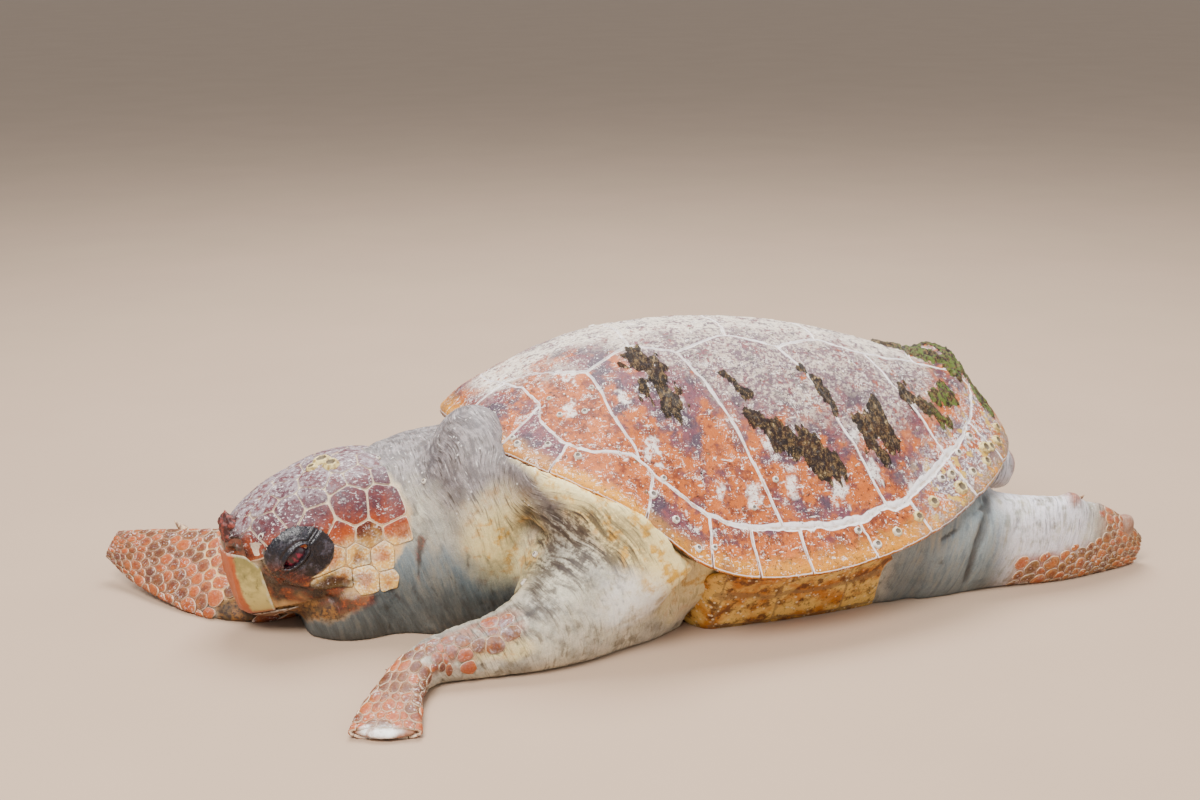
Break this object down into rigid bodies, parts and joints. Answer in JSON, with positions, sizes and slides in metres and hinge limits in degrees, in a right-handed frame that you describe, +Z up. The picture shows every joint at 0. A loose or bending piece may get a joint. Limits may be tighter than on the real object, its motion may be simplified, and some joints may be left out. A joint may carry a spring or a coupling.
{
  "type": "loggerhead sea turtle",
  "caption": "Life-size sea turtle lying on its belly, head low and forward, neck swollen, one front flipper bent out and one under the chin, plated shell with barnacles",
  "frame": {"origin": "the middle of the flat underside of the plastron, on the floor", "axes": "X runs along the body with the head towards -X, the animal's left side is at -Y, +Z is up"},
  "size_m": [1.5999, 0.8753, 0.4056],
  "materials": {
    "shell": "worn horn, matt, red-brown with pale seams",
    "belly": "smooth horn, satin, yellow-brown",
    "skin": "damp wrinkled hide, satin, grey to cream",
    "head_scales": "smooth horny head plates, satin, red-brown with cream seams",
    "beak": "smooth horn, satin, cream with an orange edge",
    "eye": "wet, gloss, dark red",
    "claw": "smooth horn, satin"
  },
  "bodies": {
    "root": {"nuchal": "shell", "vertebral_1": "shell", "vertebral_2": "shell", "vertebral_3": "shell", "vertebral_4": "shell", "vertebral_5": "shell", "costal_left_1": "shell", "costal_right_1": "shell", "costal_left_2": "shell", "costal_right_2": "shell", "costal_left_3": "shell", "costal_right_3": "shell", "costal_left_4": "shell", "costal_right_4": "shell", "costal_left_5": "shell", "costal_right_5": "shell", "marginal_left_1": "shell", "marginal_right_1": "shell", "marginal_left_2": "shell", "marginal_right_2": "shell", "marginal_left_3": "shell", "marginal_right_3": "shell", "marginal_left_4": "shell", "marginal_right_4": "shell", "marginal_left_5": "shell", "marginal_right_5": "shell", "marginal_left_6": "shell", "marginal_right_6": "shell", "marginal_left_7": "shell", "marginal_right_7": "shell", "marginal_left_8": "shell", "marginal_right_8": "shell", "marginal_left_9": "shell", "marginal_right_9": "shell", "marginal_left_10": "shell", "marginal_right_10": "shell", "marginal_left_11": "shell", "marginal_right_11": "shell", "marginal_left_12": "shell", "marginal_right_12": "shell", "plastron": "belly", "trunk": "skin", "neck": "skin", "flipper_front_left": "skin", "flipper_front_right": "skin", "flipper_hind_left": "skin", "flipper_hind_right": "skin", "tail": "skin", "head": "head_scales", "beak": "beak", "lower_jaw": "beak", "eye_left": "eye", "eye_right": "eye", "claw_front_left": "claw", "claw_front_right": "claw", "claw_hind_left": "claw", "claw_hind_right": "claw"}
  },
  "joints": []
}
